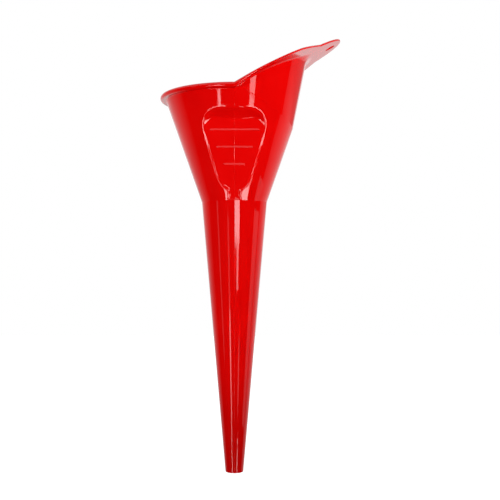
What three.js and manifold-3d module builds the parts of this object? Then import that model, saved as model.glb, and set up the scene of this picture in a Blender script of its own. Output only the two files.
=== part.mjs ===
// A long-neck funnel with a splash guard and a hang tab, moulded in red plastic.
// Millimetres, +Z up. The spout's open end is centred on the origin, and the hang tab points along +X.
import * as THREE from "three";
import { mergeVertices } from "three/addons/utils/BufferGeometryUtils.js";
import Module from "manifold-3d";

// Spout: one long taper from the open end up to the neck.
const TIP_RADIUS = 9.5;
const TIP_HEIGHT = 31;
const NECK_RADIUS = 34.3;
const NECK_LEVEL = 284;
const WALL = 1.9;

// Bowl: a cone from the neck up to the rim.
const CONE_SLOPE = 0.354;
const RIM_LEVEL = 395;
const RIM_RADIUS = 78;
const LIP_HEIGHT = 5;
const LIP_ROUND = 2.4;
const LIP_ROUND_STEPS = 4;

// Splash guard: a steeper wall that leaves the cone on one sloping plane and ends on another.
// Both planes hold the line x = 0 at the rim's level.
const BEND_FALL = 0.554;
const GUARD_RISE = 0.54;
const GUARD_WALL_SLOPE = 0.2;
const GUARD_LOW = 320;
const GUARD_HIGH = 470;
const FLANGE = 2;
const TAB_START = 88;
const TAB_END = 111;
const TAB_HALF_WIDTH = 33;
const HOLE_CENTRE = 100;
const HOLE_RADIUS = 5;

// Grip panels: a flat floor let into the cone on each side, with three ribs across it.
const FLOOR_DEPTH_AT_NECK = 33.5;
const FLOOR_SLOPE = 0.24;
const PANEL_WALL = 2;
const THROAT_HALF_WIDTH = 6;
const PANEL_TOP = 373.6;
const RIB_LEVELS = { upper: 353, middle: 336.3, lower: 319.5 };
const RIB_HALF_LENGTHS = { upper: 25, middle: 18.5, lower: 11 };
const RIB_BASE = 2.2;
const RIB_CREST = 1;
const RIB_RISE = 0.9;

const GAP = 0.3;
const SEGMENTS = 96;
const CURVE_POINTS = 14;
const FAR = 300;
const GUARD_TILT = Math.atan(GUARD_RISE);
const BEND_TILT = Math.atan(BEND_FALL);
const FLOOR_TILT = Math.atan(FLOOR_SLOPE);

const wasm = await Module();
wasm.setup();

const redPlastic = new THREE.MeshStandardMaterial({
  color: new THREE.Color("#d40b0b"),
  roughness: 0.18,
  metalness: 0,
});

// --- Outlines and radii -------------------------------------------------------------------

function spoutRadius(level) {
  return TIP_RADIUS + ((NECK_RADIUS - TIP_RADIUS) * level) / NECK_LEVEL;
}

function coneRadius(level) {
  return NECK_RADIUS + CONE_SLOPE * (level - NECK_LEVEL);
}

// The cone's radius where the bend plane crosses it, for the cosine of the angle from +X.
function bendRadius(cosine) {
  return coneRadius(RIM_LEVEL) / (1 + CONE_SLOPE * BEND_FALL * cosine);
}

function guardRadius(cosine, level) {
  const start = bendRadius(cosine);
  return start + GUARD_WALL_SLOPE * (level - RIM_LEVEL + BEND_FALL * start * cosine);
}

// Half of a grip panel's outline in X and Z, from the foot of its throat up to its top.
function panelHalfOutline() {
  const path = new THREE.Path();
  path.moveTo(THROAT_HALF_WIDTH, NECK_LEVEL);
  path.lineTo(THROAT_HALF_WIDTH, 292);
  path.bezierCurveTo(7.5, 296.5, 13, 297, 15.2, 302.5);
  path.quadraticCurveTo(24.5, 325, 31.3, 355);
  path.bezierCurveTo(32.8, 363.5, 29.5, 371.5, 17, 373.2);
  path.lineTo(8, PANEL_TOP);
  return path.getPoints(CURVE_POINTS);
}

// The whole outline moved inwards by a distance; its foot stays on the neck's level.
function panelOutline(inset) {
  const half = panelHalfOutline();
  const loop = [...half, ...half.map((p) => new THREE.Vector2(-p.x, p.y)).reverse()];
  const moved = loop.map((point, i) => {
    const before = loop[(i + loop.length - 1) % loop.length];
    const after = loop[(i + 1) % loop.length];
    const along = after.clone().sub(before).normalize();
    return new THREE.Vector2(point.x - along.y * inset, point.y + along.x * inset);
  });
  moved.forEach((point, i) => {
    if (loop[i].y === NECK_LEVEL) {
      point.set(Math.sign(loop[i].x) * (THROAT_HALF_WIDTH - inset), NECK_LEVEL);
    }
  });
  return new THREE.Shape(moved);
}

// Half of the guard flange's plan, from the rim's side round to the end of the hang tab.
function flangeHalfPlan() {
  const path = new THREE.Path();
  path.moveTo(0, RIM_RADIUS);
  path.bezierCurveTo(30, 84.5, 52, 74.5, 65, 65.5);
  path.bezierCurveTo(72, 60, 82, 43, TAB_START, TAB_HALF_WIDTH);
  path.bezierCurveTo(95, 29.5, TAB_END, 20.5, TAB_END, 0);
  return path.getPoints(CURVE_POINTS);
}

// --- Solids -------------------------------------------------------------------------------

function solidOf(geometry) {
  const bare = geometry.clone();
  bare.deleteAttribute("normal");
  bare.deleteAttribute("uv");
  const merged = mergeVertices(bare, 1e-4);
  return new wasm.Manifold(
    new wasm.Mesh({
      numProp: 3,
      vertProperties: merged.attributes.position.array,
      triVerts: new Uint32Array(merged.index.array),
    }),
  );
}

function meshOf(name, solid) {
  const made = solid.getMesh();
  const geometry = new THREE.BufferGeometry();
  geometry.setAttribute("position", new THREE.BufferAttribute(made.vertProperties, 3));
  geometry.setIndex(new THREE.BufferAttribute(made.triVerts, 1));
  geometry.computeVertexNormals();
  const mesh = new THREE.Mesh(geometry, redPlastic);
  mesh.name = name;
  return mesh;
}

// A closed profile of [radius, level] pairs turned about the Z axis.
function turned(profile) {
  const points = profile.map(([radius, level]) => new THREE.Vector2(radius, level));
  points.push(points[0].clone());
  const geometry = new THREE.LatheGeometry(points, SEGMENTS);
  geometry.rotateX(Math.PI / 2);
  return solidOf(geometry);
}

// A block given by its low and high corners, tilted about the Y axis through the rim's level.
function block(low, high, tilt = 0) {
  const size = high.map((value, i) => value - low[i]);
  const geometry = new THREE.BoxGeometry(...size);
  geometry.translate(...low.map((value, i) => value + size[i] / 2));
  geometry.rotateY(tilt);
  geometry.translate(0, 0, tilt ? RIM_LEVEL : 0);
  return solidOf(geometry);
}

// An outline in X and Z made solid along Y, from the front of the bowl to its axis.
function frontPrism(shape) {
  const geometry = new THREE.ExtrudeGeometry(shape, { depth: FAR, bevelEnabled: false });
  geometry.rotateX(Math.PI / 2);
  return solidOf(geometry);
}

// Everything on the outer side of the front panel's floor, or of a plane behind it.
function outsideOfFloor(behind) {
  const geometry = new THREE.BoxGeometry(FAR, FAR, 2 * FAR);
  geometry.translate(0, -FAR / 2, 0);
  geometry.rotateX(FLOOR_TILT);
  geometry.translate(0, behind - FLOOR_DEPTH_AT_NECK, NECK_LEVEL);
  return solidOf(geometry);
}

function halfTurn(solid) {
  return solid.rotate([0, 0, 180]);
}

// The space inside the guard's wall when it is drawn in by an inset: a cylinder with its radius
// changed at each angle.
function guardCore(inset) {
  const geometry = new THREE.CylinderGeometry(1, 1, 1, SEGMENTS, 1);
  geometry.rotateX(Math.PI / 2);
  const position = geometry.attributes.position;
  for (let i = 0; i < position.count; i += 1) {
    const x = position.getX(i);
    const y = position.getY(i);
    const share = Math.hypot(x, y);
    const level = position.getZ(i) > 0 ? GUARD_HIGH : GUARD_LOW;
    const radius = share > 0.5 ? guardRadius(x / share, level) - inset : 0;
    position.setXYZ(i, x * radius, y * radius, level);
  }
  return solidOf(geometry);
}

// --- Sub-parts ----------------------------------------------------------------------------

function spoutShell(low, high) {
  return turned([
    [spoutRadius(low) - WALL, low],
    [spoutRadius(low), low],
    [spoutRadius(high), high],
    [spoutRadius(high) - WALL, high],
  ]);
}

function coneShell(high) {
  return turned([
    [coneRadius(NECK_LEVEL) - WALL, NECK_LEVEL],
    [coneRadius(NECK_LEVEL), NECK_LEVEL],
    [coneRadius(high), high],
    [coneRadius(high) - WALL, high],
  ]);
}

function withoutPanels(shell) {
  const opening = frontPrism(panelOutline(-GAP));
  return shell.subtract(opening).subtract(halfTurn(opening));
}

const leftHalf = block([-FAR, -FAR, 0], [0, FAR, 2 * FAR]);
const rightHalf = block([0, -FAR, 0], [FAR, FAR, 2 * FAR]);
const belowFlange = block([-FAR, -FAR, -FAR], [FAR, FAR, -FLANGE - GAP], -GUARD_TILT);

function leftCone() {
  return withoutPanels(coneShell(RIM_LEVEL - LIP_HEIGHT)).intersect(leftHalf);
}

function rightCone() {
  const belowBend = block([-FAR, -FAR, -FAR], [FAR, FAR, -GAP], BEND_TILT);
  const cone = withoutPanels(coneShell(RIM_LEVEL)).intersect(rightHalf);
  return cone.intersect(belowBend).intersect(belowFlange);
}

function splashGuard() {
  const aboveBend = block([-FAR, -FAR, 0], [FAR, FAR, FAR], BEND_TILT);
  const wall = guardCore(0).subtract(guardCore(WALL)).intersect(rightHalf);
  return wall.intersect(aboveBend).intersect(belowFlange);
}

function rimLip() {
  const low = RIM_LEVEL - LIP_HEIGHT;
  const profile = [[coneRadius(low) - WALL, low]];
  const corners = [
    [RIM_RADIUS - LIP_ROUND, low + LIP_ROUND, -Math.PI / 2],
    [RIM_RADIUS - LIP_ROUND, RIM_LEVEL - LIP_ROUND, 0],
  ];
  for (const [radius, level, start] of corners) {
    for (let step = 0; step <= LIP_ROUND_STEPS; step += 1) {
      const angle = start + (step / LIP_ROUND_STEPS) * (Math.PI / 2);
      profile.push([
        radius + LIP_ROUND * Math.cos(angle),
        level + LIP_ROUND * Math.sin(angle),
      ]);
    }
  }
  profile.push([coneRadius(RIM_LEVEL) - WALL, RIM_LEVEL]);
  return turned(profile).intersect(leftHalf);
}

// The flange and the tab are one plate on the guard's plane, made in that plane's own frame.
function guardPlate() {
  const half = flangeHalfPlan();
  const mirrored = half.slice(0, -1).map((p) => new THREE.Vector2(p.x, -p.y));
  const loop = [...half, ...mirrored.reverse()];
  const alongSlope = Math.hypot(1, GUARD_RISE);
  const shape = new THREE.Shape(loop.map((p) => new THREE.Vector2(p.x * alongSlope, p.y)));
  const hole = new THREE.Path();
  hole.absarc(HOLE_CENTRE * alongSlope, 0, HOLE_RADIUS, 0, 2 * Math.PI, false);
  shape.holes.push(hole);
  const geometry = new THREE.ExtrudeGeometry(shape, {
    depth: FLANGE,
    bevelEnabled: false,
    curveSegments: CURVE_POINTS,
  });
  geometry.translate(0, 0, -FLANGE);
  geometry.rotateY(-GUARD_TILT);
  geometry.translate(0, 0, RIM_LEVEL);
  return solidOf(geometry).subtract(guardCore(WALL));
}

function guardLip() {
  return guardPlate().intersect(block([0, -FAR, 0], [TAB_START, FAR, 2 * FAR]));
}

function hangTab() {
  return guardPlate().intersect(block([TAB_START, -FAR, 0], [FAR, FAR, 2 * FAR]));
}

function gripPanel() {
  const coneSolid = turned([
    [0, NECK_LEVEL],
    [coneRadius(NECK_LEVEL), NECK_LEVEL],
    [coneRadius(RIM_LEVEL), RIM_LEVEL],
    [0, RIM_LEVEL],
  ]);
  const pocket = frontPrism(panelOutline(PANEL_WALL)).intersect(outsideOfFloor(0));
  return frontPrism(panelOutline(0))
    .intersect(coneSolid)
    .intersect(outsideOfFloor(PANEL_WALL))
    .subtract(pocket);
}

// A rib's section tapers from its base to its crest; it lies across the front panel's floor.
function gripRib(halfLength, level) {
  const section = new THREE.Shape();
  section.moveTo(-RIB_BASE / 2, 0);
  section.lineTo(RIB_BASE / 2, 0);
  section.lineTo(RIB_CREST / 2, RIB_RISE);
  section.lineTo(-RIB_CREST / 2, RIB_RISE);
  section.closePath();
  const geometry = new THREE.ExtrudeGeometry(section, {
    depth: 2 * halfLength,
    bevelEnabled: false,
  });
  geometry.translate(0, GAP, -halfLength);
  geometry.rotateY(Math.PI / 2);
  geometry.rotateZ(Math.PI);
  geometry.rotateX(FLOOR_TILT);
  const floorDepth = FLOOR_DEPTH_AT_NECK + FLOOR_SLOPE * (level - NECK_LEVEL);
  geometry.translate(0, -floorDepth, level);
  return solidOf(geometry);
}

// --- The object ---------------------------------------------------------------------------

const funnel = new THREE.Group();
funnel.add(meshOf("spout_tip", spoutShell(0, TIP_HEIGHT)));
funnel.add(meshOf("spout_tube", spoutShell(TIP_HEIGHT, NECK_LEVEL)));
funnel.add(meshOf("bowl_cone_left", leftCone()));
funnel.add(meshOf("bowl_cone_right", rightCone()));
funnel.add(meshOf("splash_guard", splashGuard()));
funnel.add(meshOf("rim_lip", rimLip()));
funnel.add(meshOf("guard_lip", guardLip()));
funnel.add(meshOf("hang_tab", hangTab()));

for (const side of ["front", "back"]) {
  const placed = side === "front" ? (solid) => solid : halfTurn;
  funnel.add(meshOf("grip_panel_" + side, placed(gripPanel())));
  for (const place of Object.keys(RIB_LEVELS)) {
    const rib = gripRib(RIB_HALF_LENGTHS[place], RIB_LEVELS[place]);
    funnel.add(meshOf(`grip_rib_${side}_${place}`, placed(rib)));
  }
}

export default funnel;
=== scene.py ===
"""Looks for the long-neck funnel: one glossy red moulding, its grip ribs, and a plain white studio."""
import math

import bmesh
import bpy
import numpy as np
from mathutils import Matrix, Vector


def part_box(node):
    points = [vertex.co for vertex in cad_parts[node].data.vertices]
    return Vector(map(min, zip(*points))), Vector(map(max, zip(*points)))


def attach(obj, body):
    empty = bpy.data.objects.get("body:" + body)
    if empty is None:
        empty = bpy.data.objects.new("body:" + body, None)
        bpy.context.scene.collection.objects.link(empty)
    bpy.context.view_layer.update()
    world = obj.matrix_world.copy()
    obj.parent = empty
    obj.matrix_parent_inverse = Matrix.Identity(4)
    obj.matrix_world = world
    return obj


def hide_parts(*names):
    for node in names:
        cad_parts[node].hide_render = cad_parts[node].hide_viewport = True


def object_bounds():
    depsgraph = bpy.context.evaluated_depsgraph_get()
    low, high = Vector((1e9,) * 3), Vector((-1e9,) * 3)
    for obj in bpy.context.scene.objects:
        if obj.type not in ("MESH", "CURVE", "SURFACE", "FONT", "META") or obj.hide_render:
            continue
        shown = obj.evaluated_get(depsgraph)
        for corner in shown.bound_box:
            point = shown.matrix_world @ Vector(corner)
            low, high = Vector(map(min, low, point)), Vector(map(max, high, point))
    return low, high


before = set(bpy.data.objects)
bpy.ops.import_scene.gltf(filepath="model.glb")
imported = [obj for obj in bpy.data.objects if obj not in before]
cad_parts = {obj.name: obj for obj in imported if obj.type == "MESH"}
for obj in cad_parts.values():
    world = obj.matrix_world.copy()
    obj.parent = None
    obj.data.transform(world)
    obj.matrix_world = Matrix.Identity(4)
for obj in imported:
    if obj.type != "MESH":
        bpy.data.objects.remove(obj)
CAD_LOW, CAD_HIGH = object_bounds()

MM = 0.001


def box_mm(node):
    low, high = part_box(node)
    return np.array(low) / MM, np.array(high) / MM


# --- Sizes in millimetres, read from the CAD nodes' boxes --------------------------------------

_, TIP_TOP = box_mm("spout_tip")
_, SPOUT_TOP = box_mm("spout_tube")
RIM_LOW, RIM_HIGH = box_mm("rim_lip")
CONE_LOW, CONE_HIGH = box_mm("bowl_cone_left")
TAB_LOW, TAB_HIGH = box_mm("hang_tab")
_, PANEL_HIGH = box_mm("grip_panel_front")

RING_LEVEL = TIP_TOP[2]
NECK_RADIUS = SPOUT_TOP[0]
NECK_LEVEL = SPOUT_TOP[2]
SPOUT_SLOPE = (NECK_RADIUS - TIP_TOP[0]) / (NECK_LEVEL - RING_LEVEL)
RIM_RADIUS = -RIM_LOW[0]
RIM_LEVEL = RIM_HIGH[2]
LIP_HEIGHT = RIM_LEVEL - RIM_LOW[2]
CONE_SLOPE = (-CONE_LOW[0] - NECK_RADIUS) / (CONE_HIGH[2] - NECK_LEVEL)
PANEL_TOP = PANEL_HIGH[2]
TAB_START = TAB_LOW[0]

# The design's own numbers that no box gives.
WALL = 1.9
BEND_FALL = 0.554
GUARD_RISE = 0.54
GUARD_TILT = math.atan(GUARD_RISE)
GUARD_WALL_SLOPE = 0.2
TAB_HALF_WIDTH = 33
TAB_END = (TAB_HIGH[2] - RIM_LEVEL) / GUARD_RISE
HOLE_CENTRE = 100
HOLE_RADIUS = 5
HOLE_EDGE = [(0.45, 0), (0.12, 0.12), (0, 0.45)]
PLATE = 2
FLOOR_DEPTH_AT_NECK = 33.5
FLOOR_SLOPE = 0.24
FLOOR_CROWN = 0.012
THROAT_HALF_WIDTH = 6

# Roundings.
TIP_ROUND = 0.4
RING_DEPTH = 0.12
RING_HALF = 0.45
NECK_ROUND = 1.5
BEND_ROUND = 4
FLARE_ROUND = 16
LIP_FOOT_ROUND = 1
PLATE_EDGE_ROUND = 0.8
LIP_EDGE_ROUND = 2.4
THIN_OVER = 25
FLARE_TURN = (math.radians(12), math.radians(34))
GUARD_FOOT_GROWTH = 1.5

# The recess of a grip panel: its least depth, its rounding, and the change towards its top.
LEAST_DEPTH = 0.35
FOOT_SHARE = 0.75
FOOT_RANGE = (0.3, 8)
CREASE = 1.3
TOP_CREASE = 2.6
TOP_CREASE_FROM = (350, 366)
TOP_FOOT_CUT = 0.8
TOP_EXTRA_SLOPE = 0.2
TOP_SHIFT = 1.5
INNER_GROWTH = 0.6
INNER_CREASE = 0.3
MIDDLE_LINE = (286, 350)

# The ribs and the parting line.
RIB_POINTS = 61
LINE_HALF_WIDTH = 0.3
LINE_HEIGHT = 0.16
LINE_START = 1.5
LINE_END = 388.0
SINK = 0.3

# Points of the finished skin closer than this, in metres, are one point.
SAME_PLACE = 1e-7

# Counts of the body's grid.
TAB_COLUMNS = 16
GUARD_COLUMNS = 46
REAR_COLUMNS = 60
CONE_ROWS = 44
PLATE_ROWS = 8
PANEL_COLUMNS = 24
PANEL_ROWS = 42
OUTER_RINGS = 10
INNER_RINGS = 24
RING_CROWDING = 1.5
HOLE_COLUMNS = 4
HOLE_ROWS = 5

# Points on the profile's larger roundings, and the places of some corners in its list.
NECK_ARC = 7
BEND_ARC = 7
FLARE_ARC = 14
EDGE_ARC = 6
NECK_CORNER = 5
UNDER_CORNER = 7
EDGE_CORNER = 9
INNER_NECK_CORNER = 12


def spout_radius(level):
    return NECK_RADIUS - SPOUT_SLOPE * (NECK_LEVEL - level)


def cone_radius(level):
    return NECK_RADIUS + CONE_SLOPE * (level - NECK_LEVEL)


def smooth_min(a, b, blend):
    share = np.clip(0.5 + 0.5 * (b - a) / blend, 0, 1)
    return b * (1 - share) + a * share - blend * share * (1 - share)


def smooth_max(a, b, blend):
    return -smooth_min(-a, -b, blend)


def smooth_step(value, start, end):
    share = np.clip((value - start) / (end - start), 0, 1)
    return share * share * (3 - 2 * share)


def bezier(points, count):
    t = np.linspace(0, 1, count)[:, None]
    p = [np.array(q, float) for q in points]
    while len(p) > 1:
        p = [a * (1 - t) + b * t for a, b in zip(p, p[1:])]
    return p[0]


# --- The body's profile at one azimuth ----------------------------------------------------------


def plan_outline():
    """Half of the plate's outline in plan, from the rim's side round to the tab's end."""
    guard = bezier([(0, RIM_RADIUS), (30, 84.45), (52, 74.5), (65, 65.5)], 100)
    slant = bezier([(65, 65.5), (72, 60), (82, 43), (TAB_START, TAB_HALF_WIDTH)], 100)
    tab = bezier([(TAB_START, TAB_HALF_WIDTH), (95, 29.5), (TAB_END, 20.5), (TAB_END, 0)], 100)
    return np.concatenate([guard, slant[1:], tab[1:]])


OUTLINE = plan_outline()
OUTLINE_ANGLE = np.arctan2(OUTLINE[:, 1], OUTLINE[:, 0])[::-1]
OUTLINE_RADIUS = np.hypot(OUTLINE[:, 0], OUTLINE[:, 1])[::-1]


def edge_radius(azimuth):
    folded = abs(math.remainder(azimuth, 2 * math.pi))
    if folded >= math.pi / 2:
        return RIM_RADIUS
    return float(np.interp(folded, OUTLINE_ANGLE, OUTLINE_RADIUS))


def body_corners(azimuth):
    """The profile's corners: radius, level, rounding, points on the rounding and on the next side."""
    cosine = max(math.cos(azimuth), 0)
    edge = edge_radius(azimuth)
    reach = edge * cosine
    bend = cone_radius(RIM_LEVEL) / (1 + CONE_SLOPE * BEND_FALL * cosine)
    bend_level = RIM_LEVEL - BEND_FALL * bend * cosine
    thin = float(smooth_step(reach, 0, THIN_OVER))
    thickness = LIP_HEIGHT + (PLATE / math.cos(GUARD_TILT) - LIP_HEIGHT) * thin
    slope = GUARD_RISE * cosine

    def wall_at(drop, inset):
        """Where the wall, drawn in by an inset, meets the plate's plane lowered by a drop."""
        if cosine > 0 and bend_level < RIM_LEVEL - drop + slope * bend:
            start = bend - inset + GUARD_WALL_SLOPE * (RIM_LEVEL - drop - bend_level)
            radius = start / (1 - GUARD_WALL_SLOPE * slope)
        else:
            radius = (cone_radius(RIM_LEVEL - drop) - inset) / (1 - CONE_SLOPE * slope)
        return radius, RIM_LEVEL - drop + slope * radius

    under_radius, under_level = wall_at(thickness, 0)
    top_radius, top_level = wall_at(0, WALL)
    turn_level = min(bend_level, under_level - 4)
    turn_radius = cone_radius(turn_level)
    overhang = edge - under_radius
    half_turn = (math.pi / 2 - math.atan(GUARD_WALL_SLOPE) - math.atan(slope)) / 2
    widest = min(FLARE_ROUND, 0.8 * overhang / math.tan(half_turn))
    folded = abs(math.remainder(azimuth, 2 * math.pi))
    flared = 1 - float(smooth_step(folded, *FLARE_TURN))
    flare = LIP_FOOT_ROUND + GUARD_FOOT_GROWTH * thin
    flare += (widest - flare) * flared
    edge_round = LIP_EDGE_ROUND + (PLATE_EDGE_ROUND - LIP_EDGE_ROUND) * thin
    lean = PLATE * math.sin(GUARD_TILT) * cosine ** 3 * thin
    tip = spout_radius(0)
    ring = RING_LEVEL
    return [
        (tip - WALL, 0, TIP_ROUND, 4, 0),
        (tip, 0, TIP_ROUND, 4, 6),
        (spout_radius(ring - RING_HALF), ring - RING_HALF, 0, 1, 0),
        (spout_radius(ring) - RING_DEPTH, ring, 0, 1, 0),
        (spout_radius(ring + RING_HALF), ring + RING_HALF, 0, 1, 34),
        (NECK_RADIUS, NECK_LEVEL, NECK_ROUND, NECK_ARC, CONE_ROWS),
        (turn_radius, turn_level, BEND_ROUND, BEND_ARC, 12),
        (under_radius, under_level, flare, FLARE_ARC, PLATE_ROWS),
        (edge + lean, RIM_LEVEL - thickness + slope * (edge + lean), edge_round, EDGE_ARC, 1),
        (edge, RIM_LEVEL + slope * edge, edge_round, EDGE_ARC, PLATE_ROWS),
        (top_radius, top_level, flare + WALL, FLARE_ARC, 12),
        (turn_radius - WALL, turn_level, BEND_ROUND, BEND_ARC, CONE_ROWS),
        (NECK_RADIUS - WALL, NECK_LEVEL, NECK_ROUND, 5, 30),
    ]


# The first row of each corner, then the number of rows in all.
SIDES = [0]
for _, _, _, arc_points, side_points in body_corners(0):
    SIDES.append(SIDES[-1] + arc_points + side_points)
ROWS = SIDES[-1]


def rounded_profile(corners):
    """The closed profile through the corners, with each one rounded and each side divided evenly."""
    place = np.array([c[:2] for c in corners])
    count = len(place)
    ahead = np.roll(place, -1, 0) - place
    length = np.hypot(*ahead.T)
    ahead /= length[:, None]
    back = -np.roll(ahead, 1, 0)
    turn = math.pi - np.arccos(np.clip((ahead * back).sum(1), -1, 1))
    reach = np.array([c[2] for c in corners]) * np.tan(turn / 2)
    for i in range(count):
        after = (i + 1) % count
        used = reach[i] + reach[after]
        if used > 0.97 * length[i]:
            reach[[i, after]] *= 0.97 * length[i] / used
    starts = place + back * reach[:, None]
    ends = place + ahead * reach[:, None]
    points = []
    for i, (_, _, _, arc_points, side_points) in enumerate(corners):
        share = np.linspace(0, 1, arc_points)[:, None] if arc_points > 1 else np.array([[0.5]])
        if turn[i] > 0.01 and reach[i] > 0:
            radius = reach[i] / math.tan(turn[i] / 2)
            middle = ahead[i] + back[i]
            middle /= np.hypot(*middle)
            centre = place[i] + middle * radius / math.cos(turn[i] / 2)
            first = np.sin((1 - share) * turn[i]) * (starts[i] - centre)
            last = np.sin(share * turn[i]) * (ends[i] - centre)
            arc = centre + (first + last) / math.sin(turn[i])
        else:
            arc = starts[i] * (1 - share) + ends[i] * share
        points.extend(arc)
        for step in range(1, side_points + 1):
            along = step / (side_points + 1)
            points.append(ends[i] * (1 - along) + starts[(i + 1) % count] * along)
    return np.array(points)


# --- The grip panel's shape ---------------------------------------------------------------------


def panel_half():
    """Half of the panel's outline in X and Z, from the foot of its throat up to its top."""
    foot = NECK_LEVEL + 0.6
    runs = [
        bezier([(0, foot), (THROAT_HALF_WIDTH, foot)], 30),
        bezier([(THROAT_HALF_WIDTH, foot), (THROAT_HALF_WIDTH, 292)], 30),
        bezier([(THROAT_HALF_WIDTH, 292), (7.5, 296.5), (13, 297), (15.2, 302.5)], 60),
        bezier([(15.2, 302.5), (24.5, 325), (31.3, 355)], 120),
        bezier([(31.3, 355), (32.8, 363.5), (29.5, 371.5), (17, 373.2)], 120),
        bezier([(17, 373.2), (8, PANEL_TOP), (0, PANEL_TOP)], 60),
    ]
    return np.concatenate([runs[0]] + [run[1:] for run in runs[1:]])


PANEL_HALF = panel_half()
PANEL_LOOP = np.concatenate([PANEL_HALF, PANEL_HALF[-2:0:-1] * [-1, 1]])


def outline_at(share):
    """The panel's outline at a share of its half length, on the side where X is positive."""
    steps = np.hypot(*np.diff(PANEL_HALF, axis=0).T)
    along = np.concatenate([[0], np.cumsum(steps)]) / steps.sum()
    return np.stack([np.interp(share, along, PANEL_HALF[:, k]) for k in (0, 1)], -1)


def outline_distance(points):
    start = PANEL_LOOP[None]
    side = np.roll(PANEL_LOOP, -1, 0)[None] - start
    away = points[:, None] - start
    share = np.clip((away * side).sum(2) / np.maximum((side * side).sum(2), 1e-12), 0, 1)
    gap = away - side * share[..., None]
    return np.sqrt((gap * gap).sum(2).min(1))


def inside_outline(points):
    x, z = points[:, 0][:, None], points[:, 1][:, None]
    a, b = PANEL_LOOP, np.roll(PANEL_LOOP, -1, 0)
    crosses = (a[:, 1] > z) != (b[:, 1] > z)
    rise = np.where(b[:, 1] == a[:, 1], 1, b[:, 1] - a[:, 1])
    at = a[:, 0] + (z - a[:, 1]) / rise * (b[:, 0] - a[:, 0])
    return (crosses & (x < at)).sum(1) % 2 == 1


def recess(points, inset=0.0):
    """How far the panel's surface lies behind the cone, at points in X and Z."""
    x, z = points.T
    distance = outline_distance(points)
    distance = np.where(inside_outline(points), distance, -distance)
    floor = FLOOR_DEPTH_AT_NECK + FLOOR_SLOPE * (z - NECK_LEVEL) - FLOOR_CROWN * np.abs(x)
    chord = np.sqrt(np.maximum((cone_radius(z) - inset) ** 2 - x * x, 1))
    target = np.maximum(chord - floor + inset, LEAST_DEPTH)
    near_top = smooth_step(z, *TOP_CREASE_FROM)
    foot = np.clip(FOOT_SHARE * target, *FOOT_RANGE) * (1 - TOP_FOOT_CUT * near_top)
    crease = CREASE + (TOP_CREASE - CREASE) * near_top + INNER_CREASE * inset
    steep = 1 + TOP_EXTRA_SLOPE * near_top
    wall = steep * (distance + INNER_GROWTH * inset - TOP_SHIFT * near_top)
    low = smooth_min(target, wall, foot)
    depth = smooth_max(low, 0, crease)
    return np.where(low < -crease, 0, depth)


def panel_surface(points, inset=0.0):
    """Points of the front panel's skin, from their X and Z."""
    x, z = points.T
    chord = np.sqrt(np.maximum((cone_radius(z) - inset) ** 2 - x * x, 1))
    return np.stack([x, recess(points, inset) - chord, z], -1)


# --- The body's mesh ----------------------------------------------------------------------------


class Body:
    """A grid of columns and rows, with some blocks of it replaced by rings round an outline."""

    def __init__(self):
        shoulder = math.atan2(TAB_HALF_WIDTH, TAB_START)
        half = np.concatenate([
            np.linspace(0, shoulder, TAB_COLUMNS, endpoint=False),
            np.linspace(shoulder, math.pi / 2, GUARD_COLUMNS, endpoint=False),
            np.linspace(math.pi / 2, math.pi, REAR_COLUMNS, endpoint=False),
        ])
        self.azimuths = np.concatenate([half, [math.pi], 2 * math.pi - half[:0:-1]])
        self.columns = len(self.azimuths)
        self.points = []
        for azimuth in self.azimuths:
            for radius, level in rounded_profile(body_corners(azimuth)):
                self.points.append((radius * math.cos(azimuth), radius * math.sin(azimuth), level))
        self.faces = []
        self.cleared = set()

    def at(self, column, row):
        return (column % self.columns) * ROWS + row % ROWS

    def clear_block(self, middle, half_columns, low_row, high_row):
        """Takes a block out of the grid and gives the loop of points round it."""
        first, last = middle - half_columns, middle + half_columns
        for column in range(first, last):
            for row in range(low_row, high_row):
                self.cleared.add((column % self.columns, row))
        loop = [(c, low_row) for c in range(middle, last)]
        loop += [(last, r) for r in range(low_row, high_row)]
        loop += [(c, high_row) for c in range(last, first, -1)]
        loop += [(first, r) for r in range(high_row, low_row, -1)]
        loop += [(c, low_row) for c in range(first, middle)]
        return [self.at(c, r) for c, r in loop]

    def add_ring(self, before, places):
        """Joins a new ring of points to the one before it; points in one place become one."""
        known = {}
        ring = []
        for place in places:
            key = tuple(round(float(v), 5) for v in place)
            if key not in known:
                known[key] = len(self.points)
                self.points.append(tuple(float(v) for v in place))
            ring.append(known[key])
        self.join(before, ring)
        return ring

    def join(self, outer, inner):
        count = len(outer)
        for i in range(count):
            after = (i + 1) % count
            face = [outer[i], outer[after], inner[after], inner[i]]
            face = [v for k, v in enumerate(face) if v != face[k - 1]]
            if len(face) > 2:
                self.faces.append(face)

    def fill_grid(self):
        for column in range(self.columns):
            for row in range(ROWS):
                if (column, row) not in self.cleared:
                    self.faces.append([
                        self.at(column, row),
                        self.at(column + 1, row),
                        self.at(column + 1, row + 1),
                        self.at(column, row + 1),
                    ])


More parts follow.
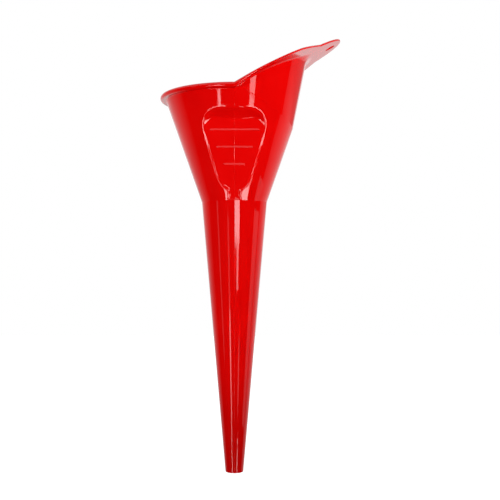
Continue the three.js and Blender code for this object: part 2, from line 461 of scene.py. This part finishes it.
def add_panel(body, middle, side, inset):
    """Lets a grip panel into the outer skin, or its back into the inner skin, on one side."""
    if inset:
        high = SIDES[INNER_NECK_CORNER]
        low = high - PANEL_ROWS
    else:
        low = SIDES[NECK_CORNER] + NECK_ARC - 1
        high = low + PANEL_ROWS
    loop = body.clear_block(middle, PANEL_COLUMNS, low, high)
    count = len(loop)
    step = np.arange(count) / (count / 2)
    share = np.where(step <= 1, step, 2 - step)
    outline = outline_at(1 - share if inset else share)
    outline[:, 0] *= np.where(step <= 1, 1, -1)
    border = np.array([body.points[i] for i in loop])[:, [0, 2]] * [side, 1]
    middle_line = np.stack([np.zeros(count), np.clip(outline[:, 1], *MIDDLE_LINE)], -1)

    def place(points):
        skin = panel_surface(points, inset)
        return skin * [side, side, 1]

    ring = loop
    for k in range(1, OUTER_RINGS + 1):
        s = 1 - (1 - k / OUTER_RINGS) ** RING_CROWDING
        ring = body.add_ring(ring, place(border * (1 - s) + outline * s))
    for k in range(1, INNER_RINGS + 1):
        s = (k / INNER_RINGS) ** RING_CROWDING
        ring = body.add_ring(ring, place(outline * (1 - s) + middle_line * s))


def add_hang_hole(body):
    """The tab's hole, square to the plate, with its edges just rounded."""
    ends = []
    normal = np.array([-math.sin(GUARD_TILT), 0, math.cos(GUARD_TILT)])
    along = np.array([math.cos(GUARD_TILT), 0, math.sin(GUARD_TILT)])
    centre = np.array([HOLE_CENTRE, 0, RIM_LEVEL + GUARD_RISE * HOLE_CENTRE])
    for top in (True, False):
        if top:
            low = SIDES[EDGE_CORNER] + EDGE_ARC
        else:
            low = SIDES[UNDER_CORNER] + FLARE_ARC + 2
        loop = body.clear_block(0, HOLE_COLUMNS, low, low + HOLE_ROWS)
        count = len(loop)
        turn = 2 * math.pi * np.arange(count) / count
        if not top:
            turn = math.pi - turn
        ring = loop
        flat = np.cos(turn)[:, None] * along + np.sin(turn)[:, None] * [0, 1, 0]
        for widening, depth in HOLE_EDGE:
            off = -depth if top else depth - PLATE
            ring = body.add_ring(ring, centre + normal * off + flat * (HOLE_RADIUS + widening))
        ends.append(ring)
    upper, lower = ends
    count = len(upper)
    body.join(upper, [lower[(count // 2 - k) % count] for k in range(count)])


def mesh_object(name, points, faces):
    mesh = bpy.data.meshes.new(name)
    mesh.from_pydata([tuple(v * MM for v in p) for p in points], [], faces)
    mesh.validate()
    mesh.shade_smooth()
    made = bpy.data.objects.new(name, mesh)
    bpy.context.scene.collection.objects.link(made)
    return made


def weight_normals(piece):
    modifier = piece.modifiers.new("flat faces stay flat", "WEIGHTED_NORMAL")
    modifier.mode = "FACE_AREA"
    modifier.weight = 60
    modifier.keep_sharp = False


def make_body():
    """The whole moulding as one closed skin, with its panels and hole let in and no point left over."""
    body = Body()
    back = TAB_COLUMNS + GUARD_COLUMNS
    front = body.columns - back
    for inset in (0, WALL):
        add_panel(body, front, 1, inset)
        add_panel(body, back, -1, inset)
    add_hang_hole(body)
    body.fill_grid()
    piece = mesh_object("funnel_body", body.points, body.faces)
    work = bmesh.new()
    work.from_mesh(piece.data)
    loose = [v for v in work.verts if not v.link_faces]
    bmesh.ops.delete(work, geom=loose, context="VERTS")
    bmesh.ops.remove_doubles(work, verts=work.verts, dist=SAME_PLACE)
    work.to_mesh(piece.data)
    work.free()
    weight_normals(piece)
    return piece


# --- Ribs and the parting line ------------------------------------------------------------------


def bar(name, path, across, out, section, sink):
    """A closed bar along a path, with a section of points across and out; its ends taper.

    Its faces look outward whichever way the path runs.
    """
    steps = np.linalg.norm(np.diff(path, axis=0), axis=1)
    along = np.concatenate([[0], np.cumsum(steps)])
    from_end = np.minimum(along, along[-1] - along)
    width = section[:, 0].max() - section[:, 0].min()
    taper = np.sqrt(np.clip(1 - (1 - np.clip(from_end / width, 0, 1)) ** 2, 0.02, 1))
    points = []
    for place, face, share in zip(path, out, taper):
        for aside, height in section:
            points.append(place + (across * aside + face * height) * share)
        for aside in (section[-1, 0], section[0, 0]):
            points.append(place + across * aside * share - face * sink)
    size = len(section) + 2
    faces = []
    for i in range(len(path) - 1):
        for k in range(size):
            a, b = i * size + k, i * size + (k + 1) % size
            faces.append([a, b, b + size, a + size])
    faces.append(list(range(size))[::-1])
    faces.append([(len(path) - 1) * size + k for k in range(size)])
    if np.dot(np.cross(path[-1] - path[0], across), out[0]) < 0:
        faces = [face[::-1] for face in faces]
    return mesh_object(name, points, faces)


# The rib's section: a long slope above its crest and a short one below it.
RIB_SECTION = np.array([(1.25, 0), (1.05, 0.1), (-0.3, 0.93), (-0.6, 0.97), (-0.85, 0.75), (-0.95, 0)])


def make_rib(node):
    low, high = box_mm(node)
    level = (low[2] + high[2]) / 2
    side = 1 if "front" in node else -1
    x = np.linspace(low[0], high[0], RIB_POINTS)
    at = np.stack([x, np.full_like(x, level)], -1)
    path = panel_surface(at * [side, 1]) * [side, side, 1]
    tilt = math.atan(FLOOR_SLOPE)
    face = np.array([0, -side * math.cos(tilt), -math.sin(tilt)])
    across = np.array([0, -side * math.sin(tilt), math.cos(tilt)])
    out = np.repeat(face[None], len(x), 0)
    piece = bar("visual_" + node, path, across, out, RIB_SECTION, SINK)
    weight_normals(piece)
    return piece


def make_parting_line(side):
    """The fine line that the mould's two halves leave down the front and the back."""
    z = np.concatenate([np.arange(LINE_START, NECK_LEVEL, 2.0), np.arange(NECK_LEVEL, LINE_END, 0.5)])
    at = np.stack([np.zeros_like(z), z], -1)
    y = np.where(z < NECK_LEVEL, -spout_radius(z), panel_surface(at)[:, 1])
    path = np.stack([np.zeros_like(z), y * side, z], -1)
    run = np.gradient(path, axis=0)
    run /= np.linalg.norm(run, axis=1)[:, None]
    out = np.stack([np.zeros_like(z), -side * run[:, 2], side * run[:, 1]], -1)
    name = "parting_line_" + ("front" if side == 1 else "back")
    around = np.linspace(0, math.pi, 9)
    section = np.stack([np.cos(around) * LINE_HALF_WIDTH, np.sin(around) * LINE_HEIGHT], -1)
    return bar(name, path, np.array([1.0, 0, 0]), out, section, SINK)


# --- Material -----------------------------------------------------------------------------------


def red_plastic():
    """Glossy moulded polypropylene: nearly even red, faint flow marks, soft waves in the gloss."""
    material = bpy.data.materials.new("red_plastic")
    material.use_nodes = True
    nodes = material.node_tree.nodes
    link = material.node_tree.links.new
    shader = nodes["Principled BSDF"]
    shader.inputs["IOR"].default_value = 1.5
    place = nodes.new("ShaderNodeTexCoord").outputs["Object"]

    def noise(scale, detail=2.0):
        node = nodes.new("ShaderNodeTexNoise")
        node.inputs["Scale"].default_value = scale
        node.inputs["Detail"].default_value = detail
        link(place, node.inputs["Vector"])
        return node.outputs["Fac"]

    def ramp(source, low, high, colours):
        node = nodes.new("ShaderNodeValToRGB")
        node.color_ramp.elements[0].position = low
        node.color_ramp.elements[1].position = high
        for element, colour in zip(node.color_ramp.elements, colours):
            element.color = (*colour, 1)
        link(source, node.inputs["Fac"])
        return node.outputs["Color"]

    link(ramp(noise(22), 0.35, 0.65, [(0.70, 0.0006, 0.0004), (0.74, 0.0012, 0.0009)]),
         shader.inputs["Base Color"])
    link(ramp(noise(60, 4), 0.3, 0.7, [(0.05,) * 3, (0.08,) * 3]), shader.inputs["Roughness"])
    bump = nodes.new("ShaderNodeBump")
    bump.inputs["Strength"].default_value = 0.25
    bump.inputs["Distance"].default_value = 0.0006
    link(noise(38, 1.0), bump.inputs["Height"])
    link(bump.outputs["Normal"], shader.inputs["Normal"])
    return material


# --- Studio -------------------------------------------------------------------------------------

# Metres, apart from the lens and sensor, which are in millimetres.
CAMERA_PLACE = (0, -0.868, 0.218)
CAMERA_LENS = 59.1
CAMERA_SENSOR = 36
CAMERA_SHIFT = (0.0312, 0.030)
FLOOR_DROP = 0.9
FLOOR_HALF = 12.0
CARD_DISTANCE = 6.0
NEAR_CARD = 0.12
TAPER_CARD = 0.15
LAMP_DISTANCE = 1.3
BOWL_MIDDLE = (0, 0, 0.33)


def direction(azimuth, elevation):
    """A unit vector; azimuth 0 looks out of the front and grows towards +X, in degrees."""
    a, e = math.radians(azimuth), math.radians(elevation)
    return Vector((math.sin(a) * math.cos(e), -math.cos(a) * math.cos(e), math.sin(e)))


def rectangle_mesh(name, half_width, half_depth, level=0.0):
    mesh = bpy.data.meshes.new(name)
    w, d = half_width, half_depth
    mesh.from_pydata([(-w, -d, level), (w, -d, level), (w, d, level), (-w, d, level)], [], [(0, 1, 2, 3)])
    return mesh


def light_frame(azimuths, elevations, distance, target):
    """The width, height, place and turn of a rectangle that fills a range of directions."""
    middle = direction(sum(azimuths) / 2, sum(elevations) / 2)
    width = 2 * distance * math.tan(math.radians(azimuths[1] - azimuths[0]) / 2)
    width *= math.cos(math.radians(sum(elevations) / 2))
    height = 2 * distance * math.tan(math.radians(elevations[1] - elevations[0]) / 2)
    turn = (-middle).to_track_quat("-Z", "Y").to_euler()
    return width, height, Vector(target) + middle * distance, turn


def glow_card(name, azimuths, elevations, radiance, distance=CARD_DISTANCE, target=BOWL_MIDDLE):
    """A glowing card that only reflections show, for the highlights on the gloss."""
    width, height, place, turn = light_frame(azimuths, elevations, distance, target)
    mesh = rectangle_mesh(name, width / 2, height / 2)
    material = bpy.data.materials.new(name)
    material.use_nodes = True
    nodes = material.node_tree.nodes
    nodes.clear()
    glow = nodes.new("ShaderNodeEmission")
    glow.inputs["Strength"].default_value = radiance
    output = nodes.new("ShaderNodeOutputMaterial")
    material.node_tree.links.new(glow.outputs[0], output.inputs["Surface"])
    material.cycles.emission_sampling = "NONE"
    mesh.materials.append(material)
    made = bpy.data.objects.new(name, mesh)
    made.location = place
    made.rotation_euler = turn
    made.visible_camera = False
    made.visible_diffuse = False
    made.visible_shadow = False
    bpy.context.scene.collection.objects.link(made)


def soft_light(name, azimuths, elevations, radiance, target, spread):
    """A narrow light that only the diffuse colour takes up."""
    width, height, place, turn = light_frame(azimuths, elevations, LAMP_DISTANCE, target)
    lamp = bpy.data.lights.new(name, "AREA")
    lamp.shape = "RECTANGLE"
    lamp.size = width
    lamp.size_y = height
    lamp.energy = radiance * math.pi * width * height
    lamp.spread = math.radians(spread)
    lamp.cycles.use_multiple_importance_sampling = False
    made = bpy.data.objects.new(name, lamp)
    made.location = place
    made.rotation_euler = turn
    made.visible_camera = False
    made.visible_glossy = False
    bpy.context.scene.collection.objects.link(made)


def make_world():
    """White to the camera, even for the diffuse colour, and in the gloss dark ahead and pale beside."""
    world = bpy.data.worlds.new("studio")
    bpy.context.scene.world = world
    world.use_nodes = True
    nodes = world.node_tree.nodes
    link = world.node_tree.links.new
    nodes.clear()
    output = nodes.new("ShaderNodeOutputWorld")
    path = nodes.new("ShaderNodeLightPath")
    place = nodes.new("ShaderNodeTexCoord").outputs["Generated"]
    split = nodes.new("ShaderNodeSeparateXYZ")
    link(place, split.inputs[0])

    def ramp(source, low, high, from_value, to_value, kind="SMOOTHSTEP"):
        node = nodes.new("ShaderNodeMapRange")
        node.interpolation_type = kind
        for index, value in enumerate((low, high, from_value, to_value), 1):
            node.inputs[index].default_value = value
        link(source, node.inputs[0])
        return node.outputs[0]

    def feed(socket, value):
        if isinstance(value, (int, float)):
            socket.default_value = value
        else:
            link(value, socket)

    def mix(share, a, b):
        node = nodes.new("ShaderNodeMix")
        feed(node.inputs[0], share)
        feed(node.inputs[2], a)
        feed(node.inputs[3], b)
        return node.outputs[0]

    def math_node(kind, a, b):
        node = nodes.new("ShaderNodeMath")
        node.operation = kind
        feed(node.inputs[0], a)
        feed(node.inputs[1], b)
        return node.outputs[0]

    x, y, z = split.outputs
    turn = math_node("ARCTAN2", x, math_node("MULTIPLY", y, -1.0))
    shift = ramp(z, -0.3, 0.05, 0.0, -math.radians(12.6), "LINEAR")
    turned = math_node("ADD", turn, shift)
    edge = ramp(turned, math.radians(94.2), math.radians(95.6), 0.0, 0.22)
    low_slope = ramp(turned, math.radians(96), math.radians(155), 0.0, 0.78, "LINEAR")
    level_slope = ramp(turn, math.radians(150), math.radians(164), 0.0, 0.78)
    level = ramp(z, -0.01, 0.06, 0.0, 1.0)
    right = math_node("ADD", edge, mix(level, low_slope, level_slope))
    left = ramp(turn, -math.radians(97), -math.radians(168), 0.0, 1.0, "LINEAR")
    sides = math_node("ADD", right, left)
    above = ramp(z, 0.25, 0.6, 0.0, 0.95)
    below = ramp(z, -0.75, -0.4, 0.0, 1.0)
    glossy = math_node("MAXIMUM", math_node("MULTIPLY", sides, below), above)
    seen = mix(path.outputs["Is Glossy Ray"], 0.5, glossy)
    strength = mix(path.outputs["Is Camera Ray"], seen, 1.0)
    background = nodes.new("ShaderNodeBackground")
    background.inputs["Color"].default_value = (1, 1, 1, 1)
    link(strength, background.inputs["Strength"])
    link(background.outputs[0], output.inputs[0])


def make_floor():
    """A plain white floor well below the spout, lit so that it reads as white as the backdrop."""
    mesh = rectangle_mesh("floor", FLOOR_HALF, FLOOR_HALF, CAD_LOW.z - FLOOR_DROP)
    floor = bpy.data.objects.new("floor", mesh)
    bpy.context.scene.collection.objects.link(floor)
    material = bpy.data.materials.new("white_floor")
    material.use_nodes = True
    shader = material.node_tree.nodes["Principled BSDF"]
    shader.inputs["Base Color"].default_value = (0.8, 0.8, 0.8, 1)
    shader.inputs["Roughness"].default_value = 0.9
    shader.inputs["Emission Color"].default_value = (1, 1, 1, 1)
    shader.inputs["Emission Strength"].default_value = 0.8
    mesh.materials.append(material)
    floor.visible_glossy = False
    floor.visible_diffuse = False


def make_camera():
    data = bpy.data.cameras.new("camera")
    data.sensor_width = CAMERA_SENSOR
    data.lens = CAMERA_LENS
    data.shift_x, data.shift_y = CAMERA_SHIFT
    camera = bpy.data.objects.new("camera", data)
    camera.location = CAMERA_PLACE
    camera.rotation_euler = (math.pi / 2, 0, 0)
    bpy.context.scene.collection.objects.link(camera)
    bpy.context.scene.camera = camera


# --- The scene ----------------------------------------------------------------------------------

plastic = red_plastic()
body = make_body()
BODY_NODES = [name for name in sorted(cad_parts) if "rib" not in name]
RIB_NODES = [name for name in sorted(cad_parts) if "rib" in name]
pieces = [body]
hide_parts(*BODY_NODES)
for node in RIB_NODES:
    rib = make_rib(node)
    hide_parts(node)
    pieces.append(rib)
for side in (1, -1):
    pieces.append(make_parting_line(side))
for piece in pieces:
    piece.data.materials.append(plastic)
    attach(piece, "root")

make_world()
make_floor()
make_camera()

# Highlights: a card's name, its azimuths and elevations in degrees, and how brightly it glows.
glow_card("left_strip", (-30, -24.5), (-29, -24.8), 6.5)
glow_card("left_strip_low", (-34, -17), (-46, -29), 8)
glow_card("left_line", (-26, -20.5), (-24.5, -14.5), 4.5)
glow_card("left_line_high", (-26, -20.5), (-14.5, -7), 0.6)
glow_card("left_faint", (-66, -61), (-17, -4), 0.5)
glow_card("right_line", (23.5, 28.5), (-22, -16.5), 1.3)
glow_card("right_strip", (27, 36), (-29, -24.8), 5.5)
glow_card("right_strip_low", (24, 50), (-46, -29), 8.5)
glow_card("neck_window", (1, 19), (-9.2, -3), 7.8)

# Cards close to one region, which the rest of the gloss hardly shows.
glow_card("guard_strip", (33, 44.5), (-16, -3), 4.5, NEAR_CARD, (0.019, -0.072, 0.396))
glow_card("right_edge", (24, 50), (-29.2, -18.5), 8, NEAR_CARD, (0.026, -0.054, 0.345))
glow_card("left_edge", (-46, -20), (-29.2, -18.5), 8, NEAR_CARD, (-0.026, -0.054, 0.345))
glow_card("side_window", (79.6, 100.4), (-47, 47), 0.5, NEAR_CARD, (0, -0.027, 0.14))
glow_card("neck_taper", (9, 17), (-22, 0), 4, TAPER_CARD, (0.004, -0.031, 0.22))

soft_light("key", (51, 59), (-11, -3), 4.5, (0, 0, 0.4), 36)
soft_light("fill", (-59, -51), (-11, -3), 2.95, (0, 0, 0.38), 36)
soft_light("spout_fill", (-1.5, 1.5), (-1.5, 1.5), 1.05, (0, 0, 0.13), 12)
bpy.context.scene.view_settings.view_transform = "Standard"
